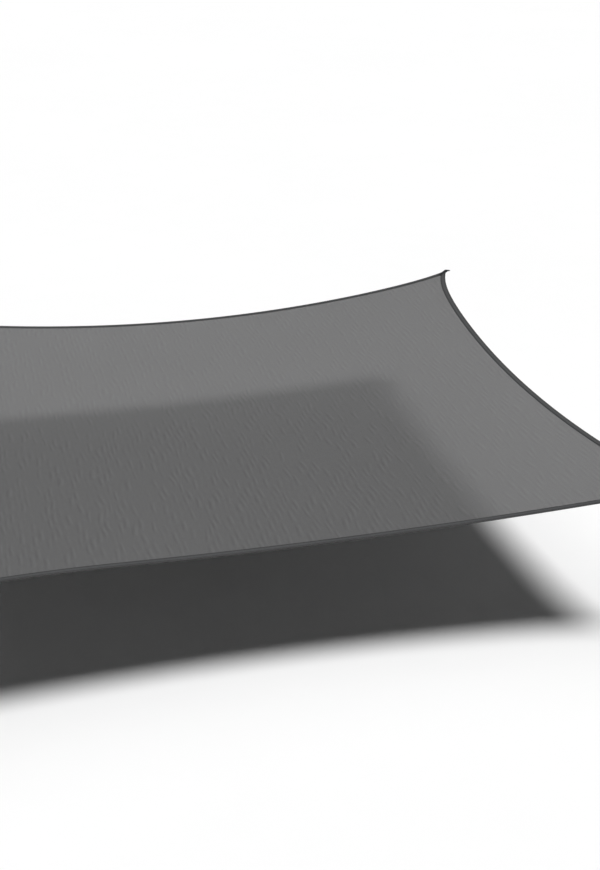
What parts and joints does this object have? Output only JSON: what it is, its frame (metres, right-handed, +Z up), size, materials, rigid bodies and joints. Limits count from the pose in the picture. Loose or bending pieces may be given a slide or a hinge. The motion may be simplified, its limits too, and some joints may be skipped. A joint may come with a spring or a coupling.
{
  "type": "shade sail",
  "caption": "Rectangular knitted shade sail with inward-curved bound edges and a webbing loop with a D-ring at each corner, hanging in a shallow dish.",
  "frame": {"origin": "middle of the sail's box: half way between its left and right rings, its front and back rings, and its lowest and highest points", "axes": "+X along the front and back edges towards the right, +Y towards the back edge, +Z up"},
  "size_m": [4.0338, 3.725, 0.1614],
  "materials": {
    "knitted_cloth": "matt knitted shade cloth, slightly see-through",
    "binding_tape": "matt dark tape",
    "loop_webbing": "matt dark webbing",
    "ring_steel": "satin"
  },
  "bodies": {
    "root": {"cloth": "knitted_cloth", "binding_right": "binding_tape", "binding_back": "binding_tape", "binding_left": "binding_tape", "binding_front": "binding_tape", "loop_back_right": "loop_webbing", "loop_back_left": "loop_webbing", "loop_front_left": "loop_webbing", "loop_front_right": "loop_webbing", "ring_back_right": "ring_steel", "ring_back_left": "ring_steel", "ring_front_left": "ring_steel", "ring_front_right": "ring_steel"}
  },
  "joints": []
}
